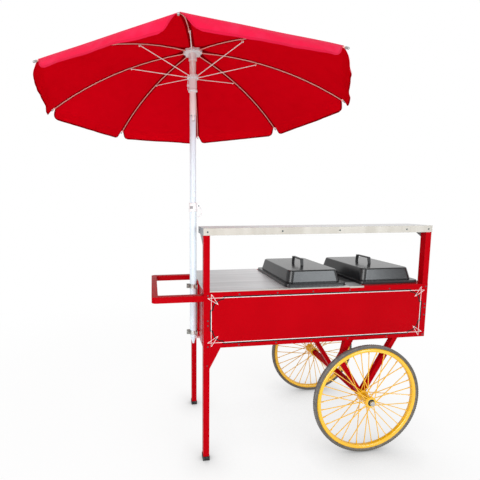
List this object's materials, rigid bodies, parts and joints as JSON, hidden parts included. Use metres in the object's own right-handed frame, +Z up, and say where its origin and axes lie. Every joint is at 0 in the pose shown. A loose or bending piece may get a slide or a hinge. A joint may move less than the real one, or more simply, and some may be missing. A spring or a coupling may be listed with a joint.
{
  "type": "hot dog cart",
  "caption": "Red street-food cart on two spoked wheels and two legs, with lidded pans under an overshelf, a push handle and a tilting, folding umbrella on a telescopic mast.",
  "frame": {"origin": "middle of the sole of the front left foot, on the ground", "axes": "+X along the cart from the handle to the wheels, +Y from the customer side to the seller side, +Z up"},
  "size_m": [2.0545, 1.5496, 2.1812],
  "materials": {
    "red_paint": "glossy red paint on steel",
    "stainless": "brushed stainless sheet",
    "grey_steel": "dull grey steel",
    "zinc_steel": "bright zinc plate",
    "bearing_steel": "black sealed bearings",
    "black_rubber": "black rubber",
    "black_enamel": "black enamel on steel",
    "black_plastic": "black heat-proof plastic",
    "can_tin": "plain tin",
    "white_tube": "white powder coat on steel tube",
    "white_plastic": "white moulded plastic",
    "red_cloth": "red woven polyester",
    "yellow_paint": "glossy yellow paint",
    "tyre": "dark grey solid rubber",
    "white_rod": "white paint on steel rod"
  },
  "bodies": {
    "cart": {"front_left_post": "red_paint", "front_right_post": "red_paint", "back_left_leg": "red_paint", "back_right_post": "red_paint", "box_rails": "red_paint", "leg_gussets": "red_paint", "front_panel": "red_paint", "end_panels": "red_paint", "floor_panel": "red_paint", "push_handle": "red_paint", "axle_beam": "red_paint", "axle_braces": "red_paint", "mast_bracket": "red_paint", "worktop": "stainless", "overshelf": "stainless", "shelf_brackets": "grey_steel", "pole_clamps": "grey_steel", "axle_spindles": "zinc_steel", "wheel_bearings": "bearing_steel", "foot_caps": "black_rubber", "fuel_cans": "can_tin", "lower_pole": "white_tube", "lock_collar": "white_plastic"},
    "front_wheel": {"hub_front": "yellow_paint", "spokes_front": "yellow_paint", "rim_front": "yellow_paint", "tyre_front": "tyre"},
    "back_wheel": {"hub_back": "yellow_paint", "spokes_back": "yellow_paint", "rim_back": "yellow_paint", "tyre_back": "tyre"},
    "left_pan": {"pan_left": "black_enamel"},
    "right_pan": {"pan_right": "black_enamel"},
    "left_lid": {"lid_left": "black_enamel", "lid_handle_left": "black_plastic"},
    "right_lid": {"lid_right": "black_enamel", "lid_handle_right": "black_plastic"},
    "lever": {"clamp_lever": "white_plastic"},
    "mast": {"mid_pole": "white_tube"},
    "head": {"upper_pole": "white_tube", "crown": "white_plastic", "canopy": "red_cloth"},
    "slider": {"runner": "white_plastic"},
    "catch": {"runner_catch": "white_plastic"},
    "rib_1": {"rib_1": "white_rod"},
    "strut_1": {"strut_1": "white_rod"},
    "rib_2": {"rib_2": "white_rod"},
    "strut_2": {"strut_2": "white_rod"},
    "rib_3": {"rib_3": "white_rod"},
    "strut_3": {"strut_3": "white_rod"},
    "rib_4": {"rib_4": "white_rod"},
    "strut_4": {"strut_4": "white_rod"},
    "rib_5": {"rib_5": "white_rod"},
    "strut_5": {"strut_5": "white_rod"},
    "rib_6": {"rib_6": "white_rod"},
    "strut_6": {"strut_6": "white_rod"},
    "rib_7": {"rib_7": "white_rod"},
    "strut_7": {"strut_7": "white_rod"},
    "rib_8": {"rib_8": "white_rod"},
    "strut_8": {"strut_8": "white_rod"}
  },
  "joints": [
    {"name": "front_wheel_spin", "type": "hinge", "parent": "cart", "child": "front_wheel", "pos_m": [0.88, -0.051, 0.305], "axis": [0, 1, 0], "continuous": true},
    {"name": "back_wheel_spin", "type": "hinge", "parent": "cart", "child": "back_wheel", "pos_m": [0.88, 0.509, 0.305], "axis": [0, 1, 0], "continuous": true},
    {"name": "left_pan_lift", "type": "slide", "parent": "cart", "child": "left_pan", "axis": [0, 0, 1], "range_m": [0, 0.165]},
    {"name": "right_pan_lift", "type": "slide", "parent": "cart", "child": "right_pan", "axis": [0, 0, 1], "range_m": [0, 0.165]},
    {"name": "left_lid_lift", "type": "slide", "parent": "left_pan", "child": "left_lid", "axis": [0, 0, 1], "range_m": [0, 0.165]},
    {"name": "right_lid_lift", "type": "slide", "parent": "right_pan", "child": "right_lid", "axis": [0, 0, 1], "range_m": [0, 0.165]},
    {"name": "collar_lever", "type": "hinge", "parent": "cart", "child": "lever", "pos_m": [-0.01425, 0.164, 1.356], "axis": [0, -1, 0], "range_deg": [0, 110]},
    {"name": "mast_height", "type": "slide", "parent": "cart", "child": "mast", "axis": [0, 0, 1], "range_m": [0, 0.33]},
    {"name": "head_tilt", "type": "hinge", "parent": "mast", "child": "head", "pos_m": [-0.04425, 0.164, 1.82], "axis": [-1, 0, 0], "range_deg": [0, 35]},
    {"name": "runner_slide", "type": "slide", "parent": "head", "child": "slider", "axis": [0, 0, 1], "range_m": [-0.57, 0], "deforming": ["canopy"]},
    {"name": "catch_rock", "type": "hinge", "parent": "slider", "child": "catch", "pos_m": [-0.07025, 0.164, 1.99], "axis": [0, 1, 0], "range_deg": [-6, 6], "stiffness_Nm_per_rad": 0.05},
    {"name": "rib_1_fold", "type": "hinge", "parent": "head", "child": "rib_1", "pos_m": [-0.05131, 0.12666, 2.155], "axis": [0.9826, -0.1857, 0], "range_deg": [0, 60.91]},
    {"name": "strut_1_fold", "type": "hinge", "parent": "slider", "child": "strut_1", "pos_m": [-0.04321, 0.13989, 2.03], "axis": [-0.9826, 0.1857, 0], "range_deg": [0, 56.93]},
    {"name": "rib_2_fold", "type": "hinge", "parent": "head", "child": "rib_2", "pos_m": [-0.02284, 0.13261, 2.155], "axis": [0.8261, 0.5635, 0], "range_deg": [0, 60.91]},
    {"name": "strut_2_fold", "type": "hinge", "parent": "slider", "child": "strut_2", "pos_m": [-0.02646, 0.14769, 2.03], "axis": [-0.8261, -0.5635, 0], "range_deg": [0, 56.93]},
    {"name": "rib_3_fold", "type": "hinge", "parent": "head", "child": "rib_3", "pos_m": [-0.00691, 0.15695, 2.155], "axis": [0.1857, 0.9826, 0], "range_deg": [0, 60.91]},
    {"name": "strut_3_fold", "type": "hinge", "parent": "slider", "child": "strut_3", "pos_m": [-0.02014, 0.16504, 2.03], "axis": [-0.1857, -0.9826, 0], "range_deg": [0, 56.93]},
    {"name": "rib_4_fold", "type": "hinge", "parent": "head", "child": "rib_4", "pos_m": [-0.01286, 0.18541, 2.155], "axis": [-0.5635, 0.8261, 0], "range_deg": [0, 60.91]},
    {"name": "strut_4_fold", "type": "hinge", "parent": "slider", "child": "strut_4", "pos_m": [-0.02794, 0.18179, 2.03], "axis": [0.5635, -0.8261, 0], "range_deg": [0, 56.93]},
    {"name": "rib_5_fold", "type": "hinge", "parent": "head", "child": "rib_5", "pos_m": [-0.03719, 0.20134, 2.155], "axis": [-0.9826, 0.1857, 0], "range_deg": [0, 60.91]},
    {"name": "strut_5_fold", "type": "hinge", "parent": "slider", "child": "strut_5", "pos_m": [-0.04529, 0.18811, 2.03], "axis": [0.9826, -0.1857, 0], "range_deg": [0, 56.93]},
    {"name": "rib_6_fold", "type": "hinge", "parent": "head", "child": "rib_6", "pos_m": [-0.06566, 0.19539, 2.155], "axis": [-0.8261, -0.5635, 0], "range_deg": [0, 60.91]},
    {"name": "strut_6_fold", "type": "hinge", "parent": "slider", "child": "strut_6", "pos_m": [-0.06204, 0.18031, 2.03], "axis": [0.8261, 0.5635, 0], "range_deg": [0, 56.93]},
    {"name": "rib_7_fold", "type": "hinge", "parent": "head", "child": "rib_7", "pos_m": [-0.08159, 0.17106, 2.155], "axis": [-0.1857, -0.9826, 0], "range_deg": [0, 60.91]},
    {"name": "strut_7_fold", "type": "hinge", "parent": "slider", "child": "strut_7", "pos_m": [-0.06836, 0.16296, 2.03], "axis": [0.1857, 0.9826, 0], "range_deg": [0, 56.93]},
    {"name": "rib_8_fold", "type": "hinge", "parent": "head", "child": "rib_8", "pos_m": [-0.07564, 0.14259, 2.155], "axis": [0.5635, -0.8261, 0], "range_deg": [0, 60.91]},
    {"name": "strut_8_fold", "type": "hinge", "parent": "slider", "child": "strut_8", "pos_m": [-0.06056, 0.14621, 2.03], "axis": [-0.5635, 0.8261, 0], "range_deg": [0, 56.93]}
  ],
  "couplings": [
    {"joint": "rib_1_fold", "follows": "runner_slide", "rad_per_m": -1.8643},
    {"joint": "strut_1_fold", "follows": "runner_slide", "rad_per_m": -1.7427},
    {"joint": "rib_2_fold", "follows": "runner_slide", "rad_per_m": -1.8643},
    {"joint": "strut_2_fold", "follows": "runner_slide", "rad_per_m": -1.7427},
    {"joint": "rib_3_fold", "follows": "runner_slide", "rad_per_m": -1.8643},
    {"joint": "strut_3_fold", "follows": "runner_slide", "rad_per_m": -1.7427},
    {"joint": "rib_4_fold", "follows": "runner_slide", "rad_per_m": -1.8643},
    {"joint": "strut_4_fold", "follows": "runner_slide", "rad_per_m": -1.7427},
    {"joint": "rib_5_fold", "follows": "runner_slide", "rad_per_m": -1.8643},
    {"joint": "strut_5_fold", "follows": "runner_slide", "rad_per_m": -1.7427},
    {"joint": "rib_6_fold", "follows": "runner_slide", "rad_per_m": -1.8643},
    {"joint": "strut_6_fold", "follows": "runner_slide", "rad_per_m": -1.7427},
    {"joint": "rib_7_fold", "follows": "runner_slide", "rad_per_m": -1.8643},
    {"joint": "strut_7_fold", "follows": "runner_slide", "rad_per_m": -1.7427},
    {"joint": "rib_8_fold", "follows": "runner_slide", "rad_per_m": -1.8643},
    {"joint": "strut_8_fold", "follows": "runner_slide", "rad_per_m": -1.7427}
  ]
}
